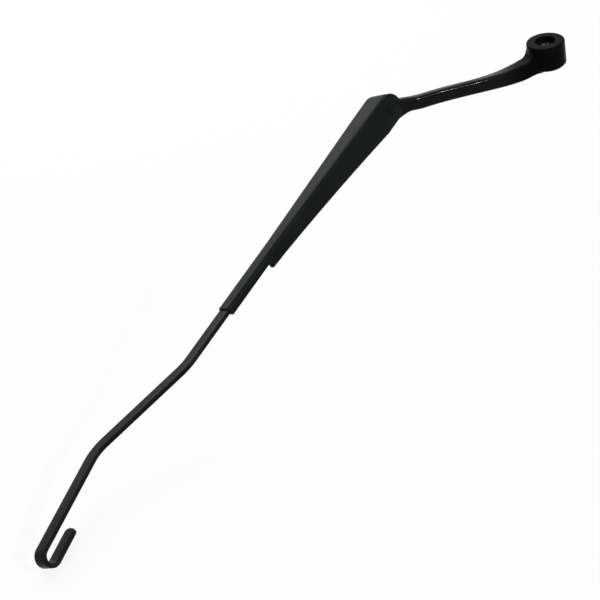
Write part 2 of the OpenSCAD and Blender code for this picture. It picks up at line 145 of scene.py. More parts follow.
class Graph:
    """Builds the node tree of one material or world."""

    def __init__(self, owner: Union[bpy.types.Material, bpy.types.World]) -> None:
        """Starts with an empty tree.

        Args:
            owner: The material or world whose nodes are made.
        """
        owner.use_nodes = True
        self.tree = owner.node_tree
        self.tree.nodes.clear()

    def add(
        self,
        kind: str,
        settings: Optional[Mapping[str, Any]] = None,
        inputs: Optional[Mapping[Union[int, str], Any]] = None,
        output: Union[int, str] = 0,
    ) -> Wire:
        """Adds a node.

        Args:
            kind: The node's type.
            settings: Its settings, set before its sockets.
            inputs: Values or wires by socket name or number.
            output: The output that is handed back.

        Returns:
            That output as a wire, or the first input of a node without outputs.
        """
        node = self.tree.nodes.new(kind)
        for key, value in (settings or {}).items():
            setattr(node, key, value)
        for key, value in (inputs or {}).items():
            if isinstance(value, Wire):
                self.tree.links.new(value.socket, node.inputs[key])
            else:
                node.inputs[key].default_value = value
        return Wire(self, node.outputs[output] if len(node.outputs) else node.inputs[0])

    def here(self) -> Wire:
        """Gives the point of the surface in the row frame."""
        return self.add("ShaderNodeTexCoord", output="Object")

    def in_frame(self, matrix: Matrix, stretch: Sequence[float] = (1.0, 1.0, 1.0)) -> Wire:
        """Gives the point of the surface in another frame.

        Args:
            matrix: Where that frame stands in the row frame.
            stretch: Lengths in metres that count as one along its three axes.

        Returns:
            The point as a vector.
        """
        return self.add(
            "ShaderNodeMapping",
            {"vector_type": "TEXTURE"},
            {
                "Vector": self.here(),
                "Location": matrix.to_translation(),
                "Rotation": matrix.to_euler("XYZ"),
                "Scale": tuple(stretch),
            },
        )

    def split(self, vector: Wire) -> tuple[Wire, Wire, Wire]:
        """Splits a vector into its three parts.

        Args:
            vector: The vector.

        Returns:
            Its X, Y and Z.
        """
        first = self.add("ShaderNodeSeparateXYZ", inputs={0: vector})
        return first, first.out("Y"), first.out("Z")

    def noise(self, vector: Wire, size: float, detail: float = 2.0, rough: float = 0.5) -> Wire:
        """Adds a noise from about 0.25 to 0.75.

        Args:
            vector: The point that it is read at.
            size: The size of its grains.
            detail: How many finer layers it has.
            rough: How strong the finer layers are.

        Returns:
            The value of the noise.
        """
        return self.add(
            "ShaderNodeTexNoise",
            {"noise_dimensions": "3D"},
            {"Vector": vector, "Scale": 1.0 / size, "Detail": detail, "Roughness": rough},
        )

    def step(self, value: Number, start: float, end: float) -> Wire:
        """Turns a value into a soft step.

        Args:
            value: What is measured.
            start: Where the step is 0.
            end: Where it is 1; it may be less than start.

        Returns:
            The step, from 0 to 1.
        """
        return self.add(
            "ShaderNodeMapRange",
            {"interpolation_type": "SMOOTHSTEP"},
            {"Value": value, "From Min": start, "From Max": end},
        )

    def over(self, length: Wire, span: Span) -> Wire:
        """Turns a length in metres into a soft step over a span in millimetres."""
        return self.step(length, span[0] * MM, span[1] * MM)

    def mix(self, share: Number, low: Union[Wire, Colour], high: Union[Wire, Colour]) -> Wire:
        """Mixes two colours.

        Args:
            share: Share of the second colour.
            low: The first colour.
            high: The second colour.

        Returns:
            The mixed colour.
        """
        sides = [c if isinstance(c, Wire) else (*c, 1.0) for c in (low, high)]
        return self.add("ShaderNodeMix", {"data_type": "RGBA"}, {0: share, 6: sides[0], 7: sides[1]}, 2)

    def bump(self, height: Wire, depth: float, normal: Wire) -> Wire:
        """Turns a height into a normal.

        Args:
            height: The height, from 0 to 1.
            depth: Depth in metres of a height of 1.
            normal: The normal that it starts from.

        Returns:
            The new normal.
        """
        return self.add("ShaderNodeBump", None, {"Height": height, "Distance": depth, "Normal": normal})

    def soft_edge(self, radius: Number) -> Wire:
        """Gives the normal with the edges rounded.

        Args:
            radius: Radius of the rounding in metres.

        Returns:
            The normal.
        """
        return self.add("ShaderNodeBevel", {"samples": 6}, {"Radius": radius})

    def edge_mask(self, radius: float, start: float, end: float) -> Wire:
        """Finds outer and inner edges.

        Args:
            radius: How far from an edge the mask reaches.
            start: Turn of the rounded normal at which the mask begins.
            end: Turn at which it is full.

        Returns:
            The mask, from 0 to 1.
        """
        flat = self.add("ShaderNodeNewGeometry", output="Normal")
        both: dict[Union[int, str], Any] = {0: self.soft_edge(radius), 1: flat}
        turned = self.add("ShaderNodeVectorMath", {"operation": "DOT_PRODUCT"}, both, "Value")
        return self.step(1.0 - turned, start, end)

    def surface(
        self,
        base: Wire,
        roughness: Wire,
        metallic: Wire,
        normal: Wire,
        more: Mapping[str, Any],
    ) -> None:
        """Ends a material in its shader.

        Args:
            base: Base colour.
            roughness: Roughness.
            metallic: Metallic share.
            normal: Normal.
            more: Values and wires of the shader's other sockets.
        """
        inputs: dict[Union[int, str], Any] = {
            "Base Color": base,
            "Roughness": roughness,
            "Metallic": metallic,
            "Normal": normal,
            **more,
        }
        shader = self.add("ShaderNodeBsdfPrincipled", None, inputs)
        self.add("ShaderNodeOutputMaterial", None, {"Surface": shader})


# Finishes

Mask = Callable[[Graph], Wire]


class Grain(Enum):
    """Ways in which a bare metal part was made, with the size of its marks in millimetres."""

    TURNED = (0.05, 3.0, 3.0)
    DRAWN = (4.0, 0.12, 0.12)
    PLATED = (0.5, 0.5, 0.5)

    def marks(self) -> tuple[float, ...]:
        """Gives the size of the marks along the part's axis and across it, in metres."""
        return tuple(size * MM for size in self.value)


@dataclass(frozen=True)
class Paint:
    """A black paint or coating over steel or cast metal; sizes in metres.

    Attributes:
        name: Name of the material.
        tone: Colour of the paint.
        pale: Colour of its slightly faded patches and its specks.
        roughness: Middle roughness.
        specular: Strength of its mirror reflection, 0.5 for a plain lacquer.
        peel_size: Size of the orange peel's cells.
        peel_depth: Depth of the orange peel.
        edge_radius: Rounding of the edges.
        wear: How much of the edges is worn to metal, from 0 to 1.
        metal: Colour of the bare metal.
        metal_roughness: Roughness of the bare metal.
        patch_size: Size of the faded patches.
        speck_size: Size of the specks.
        grit_size: Size of the finest unevenness.
        chip_size: Size of the breaks in the worn edges.
        tarnish_size: Size of the darker places of the bare metal.
        worn_reach: How far the wear reaches from an edge.
        gloss_roughness: Roughness of the lacquer where it is glossy.
        gloss_ior: Refractive index of that lacquer.
    """

    name: str
    tone: Colour
    pale: Colour
    roughness: float
    specular: float
    peel_size: float = 1.1 * MM
    peel_depth: float = 0.012 * MM
    edge_radius: float = 0.3 * MM
    wear: float = 0.3
    metal: Colour = (0.42, 0.42, 0.43)
    metal_roughness: float = 0.34
    patch_size: float = 22 * MM
    speck_size: float = 0.45 * MM
    grit_size: float = 0.28 * MM
    chip_size: float = 1.6 * MM
    tarnish_size: float = 0.7 * MM
    worn_reach: float = 0.45 * MM
    gloss_roughness: float = 0.1
    gloss_ior: float = 1.15

    def _worn(self, g: Graph, point: Wire) -> Wire:
        """Finds the places along the edges where the paint is worn away.

        Args:
            g: The material's graph.
            point: The point of the surface.

        Returns:
            The mask, from 0 to 1.
        """
        chips = g.noise(point, self.chip_size, 3.0, 0.65)
        broken = g.step(chips, 0.62 - 0.2 * self.wear, 0.72 - 0.1 * self.wear)
        return g.edge_mask(self.worn_reach, 0.05, 0.25) * broken * min(1.0, 1.6 * self.wear)

    def material(
        self,
        bare: Optional[Mask] = None,
        glossy: Optional[Mask] = None,
        rounding: Optional[Mask] = None,
        crown: Optional[Mask] = None,
    ) -> bpy.types.Material:
        """Builds the material.

        Args:
            bare: A mask of the places that are bare metal for another reason than wear along edges.
            glossy: A mask of the places where the lacquer lies thick and glossy.
            rounding: Radius of the edges in metres where it isn't the same all over.
            crown: Height in metres of a shape of the surface that is too shallow to model.

        Returns:
            The material.
        """
        made = bpy.data.materials.new(self.name)
        g = Graph(made)
        point = g.here()
        patches = g.step(g.noise(point, self.patch_size, 3.0, 0.55), 0.35, 0.7)
        specks = g.step(g.noise(point, self.speck_size, 2.0, 0.6), 0.62, 0.75)
        peel = g.noise(point, self.peel_size, 1.5, 0.4)
        grit = g.noise(point, self.grit_size, 1.0, 0.5)
        worn = self._worn(g, point)
        if bare is not None:
            worn = worn.at_least(bare(g))
        colour = g.mix(patches * 0.7 + specks * 0.3, self.tone, self.pale)
        tarnish = g.noise(point, self.tarnish_size, 3.0, 0.6)
        metal = g.mix(tarnish, tuple(0.55 * c for c in self.metal), self.metal)
        rough = self.roughness + patches * 0.07 + specks * 0.08 - 0.05
        height = peel * 0.8 + grit * 0.2 - worn * 1.5
        if crown is not None:
            height = height + crown(g) * (1 / self.peel_depth)
        more: dict[str, Any] = {"Specular IOR Level": self.specular}
        if glossy is not None:
            more["Coat Weight"] = glossy(g) * (1.0 - worn)
            more["Coat Roughness"] = self.gloss_roughness
            more["Coat IOR"] = self.gloss_ior
        g.surface(
            g.mix(worn, colour, metal),
            rough * (1.0 - worn) + worn * self.metal_roughness,
            worn,
            g.bump(height, self.peel_depth, g.soft_edge(rounding(g) if rounding else self.edge_radius)),
            more,
        )
        return made


@dataclass(frozen=True)
class BareMetal:
    """A metal part without paint; sizes in metres.

    Attributes:
        name: Name of the material.
        tone: Colour of the metal.
        dull: Colour of its stained places.
        roughness: Middle roughness.
        grain: How the part was made.
        along: The frame whose X axis the part was turned or drawn along.
        edge_radius: Rounding of the edges.
        line_depth: Depth of the tool's marks.
        stain_size: Size of the stains.
        spot_size: Size of the small spots.
    """

    name: str
    tone: Colour
    dull: Colour
    roughness: float
    grain: Grain
    along: Matrix
    edge_radius: float = 0.15 * MM
    line_depth: float = 0.004 * MM
    stain_size: float = 2.4 * MM
    spot_size: float = 0.5 * MM

    def material(self) -> bpy.types.Material:
        """Builds the material.

        Returns:
            The material.
        """
        made = bpy.data.materials.new(self.name)
        g = Graph(made)
        lines = g.noise(g.in_frame(self.along, self.grain.marks()), 1.0, 2.0, 0.6)
        stains = g.step(g.noise(g.here(), self.stain_size, 4.0, 0.6), 0.45, 0.72)
        spots = g.step(g.noise(g.here(), self.spot_size, 2.0, 0.5), 0.6, 0.72)
        g.surface(
            g.mix(stains * 0.7 + spots * 0.3, self.tone, self.dull),
            self.roughness + stains * 0.14 + lines * 0.12 - 0.06,
            1.0 - stains * 0.25,
            g.bump(lines, self.line_depth, g.soft_edge(self.edge_radius)),
            {"Specular IOR Level": 0.5},
        )
        return made


# Mesh tools

BEND_ANGLE = 32.0
TURNED_ANGLE = 30.0
TOOTH_ANGLE = 20.0
CAST_ANGLE = 60.0
WIRE_ANGLE = 60.0
STRIP_ANGLE = 40.0
MERGE_REACH = 0.002 * MM
AXIS_REACH = 0.0005 * MM
SIDE = Vector((0.0, 1.0, 0.0))
UP = Vector((0.0, 0.0, 1.0))


def clamp(value: float) -> float:
    """Keeps a value between 0 and 1."""
    return min(1.0, max(0.0, value))


def ease(value: float) -> float:
    """Gives a share from 0 to 1 a soft start and a soft end."""
    return (1 - math.cos(math.pi * clamp(value))) / 2


def circle(radius: float, angle: float) -> Span:
    """Gives the two coordinates of a point on a circle, for an angle in radians."""
    return radius * math.cos(angle), radius * math.sin(angle)


def add_object(name: str, mesh: bpy.types.Mesh) -> bpy.types.Object:
    """Puts a mesh into the scene.

    Args:
        name: Name of the piece.
        mesh: Its mesh.

    Returns:
        The new object.
    """
    piece = bpy.data.objects.new(name, mesh)
    bpy.context.scene.collection.objects.link(piece)
    return piece


def smooth(mesh: bpy.types.Mesh, angle: float) -> None:
    """Shades a mesh smooth, apart from its sharp edges.

    Args:
        mesh: The mesh.
        angle: Angle in degrees from which an edge stays sharp.
    """
    mesh.shade_smooth()
    mesh.set_sharp_from_angle(angle=math.radians(angle))


def apply_modifiers(piece: bpy.types.Object) -> None:
    """Replaces the mesh of a piece by the one that its modifiers give.

    Args:
        piece: The piece.
    """
    bpy.context.view_layer.update()
    graph = bpy.context.evaluated_depsgraph_get()
    made = bpy.data.meshes.new_from_object(piece.evaluated_get(graph))
    piece.modifiers.clear()
    piece.data = made


def shade_bends(piece: bpy.types.Object) -> None:
    """Shades the bends of a folded piece smooth and keeps its cut edges sharp.

    Args:
        piece: The piece.
    """
    smooth(piece.data, BEND_ANGLE)
    soft = piece.modifiers.new("normals", "WEIGHTED_NORMAL")
    soft.keep_sharp = True
    apply_modifiers(piece)


def net_faces(rows: int, count: int, around: bool, along: bool) -> list[Sequence[int]]:
    """Gives the faces of a net of points that are numbered row by row.

    Args:
        rows: Number of rows.
        count: Number of points in each row.
        around: Whether each row closes on itself.
        along: Whether the last row joins the first.

    Returns:
        Four point numbers for each face.
    """
    faces: list[Sequence[int]] = []
    for j in range(rows if along else rows - 1):
        here, there = j * count, (j + 1) % rows * count
        for i in range(count if around else count - 1):
            k = (i + 1) % count
            faces.append((here + i, here + k, there + k, there + i))
    return faces


def mesh_from(
    name: str, points: Sequence[Vector], faces: Sequence[Sequence[int]], angle: float
) -> bpy.types.Object:
    """Makes a piece from points and faces, with its normals outwards.

    Args:
        name: Name of the piece.
        points: Points in the row frame, in metres.
        faces: Point numbers of each face.
        angle: Angle in degrees from which an edge stays sharp.

    Returns:
        The piece.
    """
    mesh = bpy.data.meshes.new(name)
    mesh.from_pydata([tuple(p) for p in points], [], [list(f) for f in faces])
    work = bmesh.new()
    work.from_mesh(mesh)
    bmesh.ops.recalc_face_normals(work, faces=work.faces)
    work.to_mesh(mesh)
    work.free()
    smooth(mesh, angle)
    return add_object(name, mesh)


def copy_of(node: str, name: str) -> bpy.types.Object:
    """Copies a CAD node into a new piece with its points merged.

    Args:
        node: The CAD node.
        name: Name of the piece.

    Returns:
        The piece, with flat shading.
    """
    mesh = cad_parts[node].data.copy()
    mesh.materials.clear()
    work = bmesh.new()
    work.from_mesh(mesh)
    bmesh.ops.remove_doubles(work, verts=work.verts, dist=MERGE_REACH)
    work.to_mesh(mesh)
    work.free()
    if mesh.has_custom_normals:
        mesh.attributes.remove(mesh.attributes["custom_normal"])
    return add_object(name, mesh)


@dataclass(frozen=True)
class Station:
    """One stop of a sweep: a place with a side and an up direction, in millimetres."""

    place: Vector
    side: Vector
    up: Vector


def sweep(
    name: str,
    frame_matrix: Matrix,
    stations: Sequence[Station],
    outlines: Sequence[Sequence[Span]],
    angle: float = STRIP_ANGLE,
) -> bpy.types.Object:
    """Makes a closed solid through outlines that stand across a path.

    Args:
        name: Name of the piece.
        frame_matrix: Frame of the path, in metres.
        stations: The stops of the path.
        outlines: One outline for each stop, as side and up in millimetres.
        angle: Angle in degrees from which an edge stays sharp.

    Returns:
        The piece.
    """
    count = len(outlines[0])
    points = [
        frame_matrix @ ((stop.place + stop.side * a + stop.up * b) * MM)
        for stop, outline in zip(stations, outlines)
        for a, b in outline
    ]
    faces = net_faces(len(stations), count, around=True, along=False)
    faces.append(range(count))
    faces.append(range((len(stations) - 1) * count, len(stations) * count))
    return mesh_from(name, points, faces, angle)


def lathe(name: str, frame_matrix: Matrix, profile: Sequence[Span], steps: int = 72) -> bpy.types.Object:
    """Turns a closed profile about the X axis of a frame.

    Args:
        name: Name of the piece.
        frame_matrix: The frame, in metres.
        profile: Places along X and radii in millimetres, round the profile.
        steps: Number of steps of a full turn.

    Returns:
        The piece.
    """
    turns = [2 * math.pi * k / steps for k in range(steps)]
    points = [frame_matrix @ (Vector((x, *circle(r, t))) * MM) for t in turns for x, r in profile]
    faces = net_faces(steps, len(profile), around=True, along=True)
    piece = mesh_from(name, points, faces, TURNED_ANGLE)
    work = bmesh.new()
    work.from_mesh(piece.data)
    bmesh.ops.remove_doubles(work, verts=work.verts, dist=AXIS_REACH)
    bmesh.ops.recalc_face_normals(work, faces=work.faces)
    work.to_mesh(piece.data)
    work.free()
    smooth(piece.data, TURNED_ANGLE)
    return piece


def rounded_box(width: float, height: float, radius: float, steps: int = 6) -> list[Span]:
    """Gives the outline of a rectangle with rounded corners.

    Args:
        width: Width in millimetres.
        height: Height in millimetres.
        radius: Radius of the corners.
        steps: Steps of each corner.

    Returns:
        The outline's points.
    """
    points = []
    for quarter in range(4):
        cx = (width / 2 - radius) * (1 if quarter in (0, 3) else -1)
        cy = (height / 2 - radius) * (1 if quarter < 2 else -1)
        for i in range(steps + 1):
            a, b = circle(radius, math.radians(90 * (quarter + i / steps)))
            points.append((cx + a, cy + b))
    return points


# Places


@dataclass(frozen=True)
class ArmPlace:
    """Where the hinge is and how the arm stands on it; lengths in millimetres and angles in degrees.

    Attributes:
        reach: Distance from the spindle to the hinge.
        hinge_z: Height of the hinge above the nut seat.
        turn: Angle between neck and arm.
        drop: Slope of the arm.
        roll: Tilt about its length.
        pull_angle: Slope of the spring in the arm.
        pull_start: Place of the curl of the spring link in the arm.
    """

    reach: float = 123.2
    hinge_z: float = -6.8
    turn: float = 33.4
    drop: float = 17.0
    roll: float = 18.0
    pull_angle: float = 4.1968
    pull_start: tuple[float, float, float] = (3.3723, 0.0, -5.3645)

    def arm(self) -> Matrix:
        """Gives the arm's frame, with X along the retainer and the hinge at its origin."""
        turn = Euler((math.radians(self.roll), math.radians(self.drop), math.radians(self.turn)), "XYZ")
        return Matrix.Translation(Vector((self.reach, 0.0, self.hinge_z)) * MM) @ turn.to_matrix().to_4x4()

    def pull(self) -> Matrix:
        """Gives the frame of the spring, with X along it."""
        tilt = Matrix.Rotation(math.radians(-self.pull_angle), 4, "Y")
        return self.arm() @ Matrix.Translation(Vector(self.pull_start) * MM) @ tilt

    def across(self) -> Matrix:
        """Gives the frame of the hinge, with X along the hinge pin."""
        return self.arm() @ Matrix.Rotation(math.radians(90), 4, "Z")


PLACE = ArmPlace()


def dress(
    piece: bpy.types.Object, material: bpy.types.Material, body: str, node: Optional[str] = None
) -> bpy.types.Object:
    """Puts a piece's material in its slot, gives it its body, and hides the CAD node that it stands for.

    Args:
        piece: The piece.
        material: Its material.
        body: The CAD body that it rides on.
        node: The CAD node that it replaces, if any.

    Returns:
        The piece.
    """
    piece.data.materials.clear()
    piece.data.materials.append(material)
    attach(piece, body)
    if node:
        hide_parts(node)
    log.info("%s: %d faces, on %s", piece.name, len(piece.data.polygons), body)
    return piece


# Sub-assemblies


@dataclass
class CastHead:
    """The cast boss, neck and knuckle; lengths in millimetres, heights from the nut seat.

    Attributes:
        voxel: Fineness of the casting's mesh.
        rounds: Rounds of smoothing over the whole casting.
        root_rounds: Further rounds at the root of the neck.
        root_reach: Distances from the spindle between which the root is blended.
        root_ramps: Lengths over which the blend begins and ends.
        root_clear: Radius of the boss's top that the blend leaves alone.
        root_levels: Heights between which the root is blended.
        bare_edge: Radii between which the bare metal of the seat ends.
        bare_top: Heights between which it begins.
        bore_top: Heights between which the whole bore becomes bare.
        bore_end: Heights between which the bare bore ends.
        scrape_size: Size of the scraped places on the nut seat.
        gloss_reach: Distances from the spindle between which the lacquer becomes glossy.
        teeth: Number of teeth in the bore.
        tooth: Shape of one tooth in steps round the bore, as shares of its depth.
        teeth_depth: Depth of a tooth.
        teeth_low: Height of the teeth's lower ends.
        teeth_high: Height of their upper ends.
        teeth_steps: Number of steps along a tooth.
        teeth_ramp: Length over which a tooth begins and ends.
        teeth_proud: How far the toothed wall stands out of the bore's wall.
        teeth_sunk: How far it reaches into the casting.
        cone_high_r: Radius of the tapered bore at its upper end.
        cone_rate: Growth of that radius for each millimetre downwards.
        cone_top: Height of that upper end.
        neck_w: Width of the neck.
        neck_h: Height of the neck.
        neck_round: Rounding of its corners.
        neck_end: Distance from the spindle at which it ends.
        neck_shift: How far it moves sideways at the knuckle.
        root_w: Width of the neck's root.
        root_h: Height of the neck's root.
        root_z: Height of the neck's middle line at the root.
        dip_x: Distance from the spindle at which the middle line is lowest.
        dip_z: Its height there.
        run_z: Its height before it turns towards the hinge.
        rise_share: Share of the reach at which that turn begins.
        turn_share: Share of the reach over which it lasts.
        swell_from: Distance from the spindle at which the root's swelling begins.
        swell_to: Distance at which the swelling ends.
        keel_from: Distance at which the deepening under the neck begins.
        keel_ramp: Length over which it begins.
        keel_run: Depth that it adds along the neck.
        keel_deep: Depth that it adds at the knuckle.
        keel_len: Length over which it deepens before the knuckle.
        keel_lap: How far it reaches up into the neck.
        keel_inset: How much narrower than the neck it is.
        keel_steps: Number of steps along it.
        relief: Depth that is ground off beside the retainer's ear.
        relief_span: Distances at which the grinding begins, is full, begins to fade and ends.
        relief_ramp: Distance from the neck's middle over which it grows.
        paint: Finish of the casting.
    """

    voxel: float = 0.36
    rounds: int = 3
    root_rounds: int = 40
    root_reach: Span = (9.0, 27.0)
    root_ramps: Span = (3.0, 4.0)
    root_clear: float = 11.5
    root_levels: Span = (-12.4, 2.0)
    bare_edge: Span = (5.8, 5.6)
    bare_top: Span = (0.3, 0.1)
    bore_top: Span = (-0.2, -0.6)
    bore_end: Span = (-13.6, -13.3)
    scrape_size: float = 1.3
    gloss_reach: Span = (20.0, 44.0)
    teeth: int = 60
    tooth: tuple[float, ...] = (0.0, 0.5, 1.0, 0.5)
    teeth_depth: float = 0.28
    teeth_low: float = -13.3
    teeth_high: float = -4.15
    teeth_steps: int = 6
    teeth_ramp: float = 1.2
    teeth_proud: float = 0.03
    teeth_sunk: float = 0.3
    cone_high_r: float = 4.7
    cone_rate: float = 0.1
    cone_top: float = -4.0
    neck_w: float = 6.6
    neck_h: float = 7.8
    neck_round: float = 2.4
    neck_end: float = 119.2
    neck_shift: float = 1.3
    root_w: float = 16.0
    root_h: float = 11.0
    root_z: float = -9.9
    dip_x: float = 36.0
    dip_z: float = -12.0
    run_z: float = -9.1
    rise_share: float = 0.75
    turn_share: float = 0.2
    swell_from: float = 6.6
    swell_to: float = 62.0
    keel_from: float = 8.0
    keel_ramp: float = 14.0
    keel_run: float = 2.2
    keel_deep: float = 9.0
    keel_len: float = 18.0
    keel_lap: float = 1.0
    keel_inset: float = 0.1
    keel_steps: int = 60
    relief: float = 0.45
    relief_span: tuple[float, float, float, float] = (99.0, 106.0, 112.5, 115.5)
    relief_ramp: float = 2.0
    paint: Paint = Paint(
        "head_black",
        tone=(0.0040, 0.0042, 0.0041),
        pale=(0.0074, 0.0076, 0.0072),
        roughness=0.3,
        specular=0.014,
        peel_size=3.2 * MM,
        peel_depth=0.008 * MM,
        edge_radius=0.5 * MM,
        wear=0.2,
    )

    def _bare(self, g: Graph) -> Wire:
        """Finds the bore and the scraped ring of the nut seat.

        Args:
            g: The material's graph.

        Returns:
            The mask, from 0 to 1.
        """
        x, y, z = g.split(g.here())
        radius = (x * x + y * y) ** 0.5
        scraped = g.step(g.noise(g.here(), self.scrape_size * MM, 4.0, 0.7), 0.5, 0.62)
        inside = g.over(radius, self.bare_edge) * g.over(z, self.bare_top)
        bore = g.over(z, self.bore_top)
        return inside * bore.at_least(scraped) * g.over(z, self.bore_end)

    def _glossy(self, g: Graph) -> Wire:
        """Finds the neck, where the lacquer is glossy."""
        x, _, _ = g.split(g.here())
        return g.over(x, self.gloss_reach)

    def _middle(self, x: float) -> float:
        """Gives the height of the neck's middle line.

        Args:
            x: Distance from the spindle.

        Returns:
            The height.
        """
        turn_x = self.rise_share * PLACE.reach
        drop = ease((x - self.swell_from) / (self.dip_x - self.swell_from))
        rise = ease((x - self.dip_x) / (turn_x - self.dip_x))
        last = ease((x - turn_x) / (self.turn_share * PLACE.reach))
        middle = self.root_z + (self.dip_z - self.root_z) * drop
        return middle + (self.run_z - self.dip_z) * rise + (PLACE.hinge_z - self.run_z) * last

    def _keel(self) -> bpy.types.Object:
        """Makes the lower part of the neck, which deepens towards the knuckle.

        Returns:
            The piece.
        """
        stations, outlines = [], []
        for i in range(self.keel_steps + 1):
            x = self.keel_from + (self.neck_end - self.keel_from) * i / self.keel_steps
            near = ease((x - self.neck_end) / self.keel_len + 1)
            swell = max(0.0, 1 - (x - self.swell_from) / (self.swell_to - self.swell_from)) ** 2
            height = self.neck_h + (self.root_h - self.neck_h) * swell
            width = self.neck_w + (self.root_w - self.neck_w) * swell - self.keel_inset
            deep = self.keel_run + (self.keel_deep - self.keel_run) * near
            low = self._middle(x) - height / 2 - deep * ease((x - self.keel_from) / self.keel_ramp)
            high = self._middle(x) + self.keel_lap
            place = Vector((x, -self.neck_shift * near, (low + high) / 2))
            stations.append(Station(place, SIDE, UP))
            outlines.append(rounded_box(width, high - low, self.neck_round))
        return sweep("keel", Matrix.Identity(4), stations, outlines)

    def casting(self) -> bpy.types.Object:
        """Remeshes the solid and blends the root of the neck into the boss as a casting does.

        Returns:
            The piece.
        """
        piece = copy_of("mounting_head", "head_casting")
        keel = self._keel()
        work = bmesh.new()
        work.from_mesh(piece.data)
        work.from_mesh(keel.data)
        work.to_mesh(piece.data)
        work.free()
        bpy.data.objects.remove(keel)
        remesh = piece.modifiers.new("remesh", "REMESH")
        remesh.mode = "VOXEL"
        remesh.voxel_size = self.voxel * MM
        apply_modifiers(piece)
        self._mark_root(piece)
        for name, group, rounds in (("all", "", self.rounds), ("root", "root", self.root_rounds)):
            soft = piece.modifiers.new(name, "SMOOTH")
            soft.factor = 0.5
            soft.iterations = rounds
            soft.vertex_group = group
        apply_modifiers(piece)
        self._relieve(piece.data)
        smooth(piece.data, CAST_ANGLE)
        return piece

    def _mark_root(self, piece: bpy.types.Object) -> None:
        """Marks the root of the neck as the vertex group that is blended.

        Args:
            piece: The casting.
        """
        root = piece.vertex_groups.new(name="root")
        start, end = (v * MM for v in self.root_reach)
        low, high = (v * MM for v in self.root_levels)
        for vertex in piece.data.vertices:
            x, y, z = vertex.co
            near = clamp((x - start) / (self.root_ramps[0] * MM))
            near *= clamp((end - x) / (self.root_ramps[1] * MM))
            if near > 0 and math.hypot(x, y) > self.root_clear * MM and low < z < high:
                root.add([vertex.index], near, "REPLACE")

    def _relieve(self, mesh: bpy.types.Mesh) -> None:
        """Grinds the neck's near side back a little where the retainer's ear swings past it.

        Args:
            mesh: The casting's mesh.
        """
        start, full, last, end = (v * MM for v in self.relief_span)
        for vertex in mesh.vertices:
            x, y, _ = vertex.co
            along = clamp((x - start) / (full - start)) * clamp((end - x) / (end - last))
            vertex.co.y -= self.relief * MM * along * clamp(y / (self.relief_ramp * MM))

    def bore_teeth(self) -> bpy.types.Object:
        """Makes the fine teeth that the spindle's knurl has pressed into the tapered bore.

        Returns:
            The piece.
        """
        span = self.teeth_high - self.teeth_low
        levels = [self.teeth_low + span * i / self.teeth_steps for i in range(self.teeth_steps + 1)]
        rows = []
        for z in levels:
            ends = min(z - self.teeth_low, self.teeth_high - z)
            rows.append((z, -self.teeth_proud, self.teeth_depth * min(1.0, ends / self.teeth_ramp)))
        rows += [(z, self.teeth_sunk, 0.0) for z in (levels[-1], levels[0])]
        per_turn = self.teeth * len(self.tooth)
        points = []
        for z, offset, depth in rows:
            wall = self.cone_high_r + self.cone_rate * (self.cone_top - z) + offset
            for k in range(per_turn):
                radius = wall - self.tooth[k % len(self.tooth)] * depth
                points.append(Vector((*circle(radius, 2 * math.pi * k / per_turn), z)) * MM)
        faces = net_faces(len(rows), per_turn, around=True, along=True)
        return mesh_from("bore_teeth", points, faces, TOOTH_ANGLE)

    def build(self) -> None:
        """Builds and dresses the head."""
        finish = self.paint.material(self._bare, self._glossy)
        dress(self.casting(), finish, "head", "mounting_head")
        upright = Matrix.Rotation(math.radians(-90), 4, "Y")
        steel = BareMetal("bore_steel", (0.6, 0.6, 0.61), (0.3, 0.29, 0.28), 0.3, Grain.DRAWN, upright)
        dress(self.bore_teeth(), steel.material(), "head")


